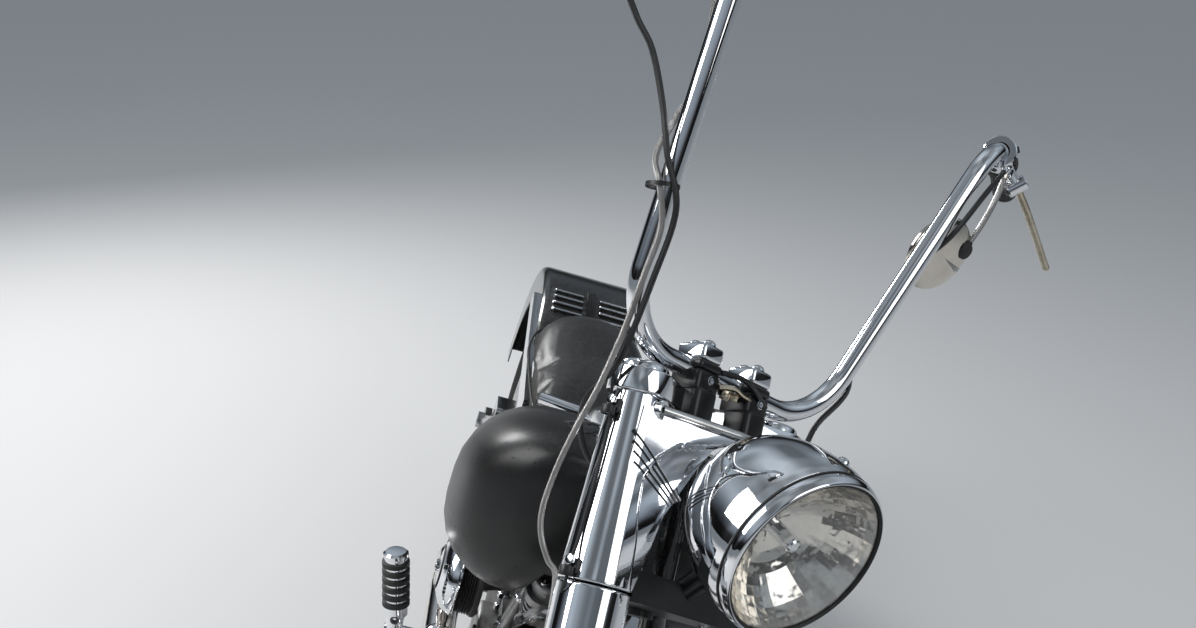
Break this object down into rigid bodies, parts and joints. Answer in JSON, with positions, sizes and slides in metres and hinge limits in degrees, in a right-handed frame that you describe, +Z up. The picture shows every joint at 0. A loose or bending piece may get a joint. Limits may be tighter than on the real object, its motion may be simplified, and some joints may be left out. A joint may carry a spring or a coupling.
{
  "type": "chopper motorcycle",
  "caption": "Long-forked cruiser motorcycle on its side stand: headlight nacelle, high bar, V-twin, steering, turning wheels and a folding stand.",
  "frame": {"origin": "on the ground below the middle of the box round the parked motorcycle", "axes": "+X to the front of the motorcycle, +Y to its left, +Z up; it leans left on its side stand"},
  "size_m": [2.2818, 0.923, 1.5117],
  "materials": {
    "tyre": "matt",
    "chrome": "polished",
    "polished_aluminium": "polished",
    "cast_aluminium": "satin",
    "steel": "satin",
    "gloss_black": "gloss",
    "matt_black": "satin",
    "seat_cover": "satin",
    "rubber": "matt",
    "lamp_glass": "clear",
    "reflector": "polished",
    "red_lens": "gloss",
    "plate": "satin"
  },
  "bodies": {
    "chassis": {"frame_backbone": "gloss_black", "frame_left": "gloss_black", "frame_right": "gloss_black", "frame_cross_members": "gloss_black", "rear_axle": "steel", "crankcase": "cast_aluminium", "cylinder_front": "cast_aluminium", "cylinder_rear": "cast_aluminium", "gearbox": "cast_aluminium", "primary_cover": "chrome", "drive_belt": "rubber", "carburettor": "cast_aluminium", "air_cleaner": "chrome", "exhaust_front": "chrome", "exhaust_rear": "chrome", "oil_tank": "gloss_black", "fuel_tank_left": "matt_black", "fuel_tank_right": "matt_black", "tank_console": "chrome", "seat": "seat_cover", "seat_trim": "chrome", "rear_fender": "gloss_black", "fender_struts": "chrome", "tail_light": "red_lens", "number_plate": "plate", "rear_caliper": "polished_aluminium", "foot_controls": "chrome"},
    "front_end": {"front_axle": "chrome", "fork_upper_covers": "chrome", "fork_lower_covers": "chrome", "fork_sliders": "polished_aluminium", "top_clamp": "chrome", "lower_clamp": "steel", "headlight_bowl": "chrome", "headlight_lens": "lamp_glass", "headlight_reflector": "reflector", "nacelle": "chrome", "handlebar": "chrome", "grips": "rubber", "hand_controls": "chrome", "mirrors": "chrome", "front_caliper": "polished_aluminium", "front_fender": "gloss_black", "brake_line": "rubber", "control_cables": "rubber"},
    "front_wheel": {"front_tyre": "tyre", "front_wheel": "chrome", "front_brake_disc": "steel"},
    "rear_wheel": {"rear_tyre": "tyre", "rear_wheel": "chrome", "rear_brake_disc": "steel", "rear_pulley": "chrome"},
    "side_stand": {"side_stand": "steel"}
  },
  "joints": [
    {"name": "steering", "type": "hinge", "parent": "chassis", "child": "front_end", "pos_m": [0.43543, -0.06007, 0.88583], "axis": [-0.5222, 0.208, 0.8271], "range_deg": [-69, 0]},
    {"name": "front_wheel_spin", "type": "hinge", "parent": "front_end", "child": "front_wheel", "pos_m": [0.85238, -0.18406, 0.28798], "axis": [-0.4849, 0.7253, -0.4886], "continuous": true},
    {"name": "rear_wheel_spin", "type": "hinge", "parent": "chassis", "child": "rear_wheel", "pos_m": [-0.77074, -0.20774, 0.31348], "axis": [-0.0023, 0.9694, -0.2453], "continuous": true},
    {"name": "side_stand_fold", "type": "hinge", "parent": "chassis", "child": "side_stand", "pos_m": [0.20773, -0.0921, 0.11724], "axis": [0.0793, 0.6117, 0.7871], "range_deg": [0, 104.4]}
  ]
}
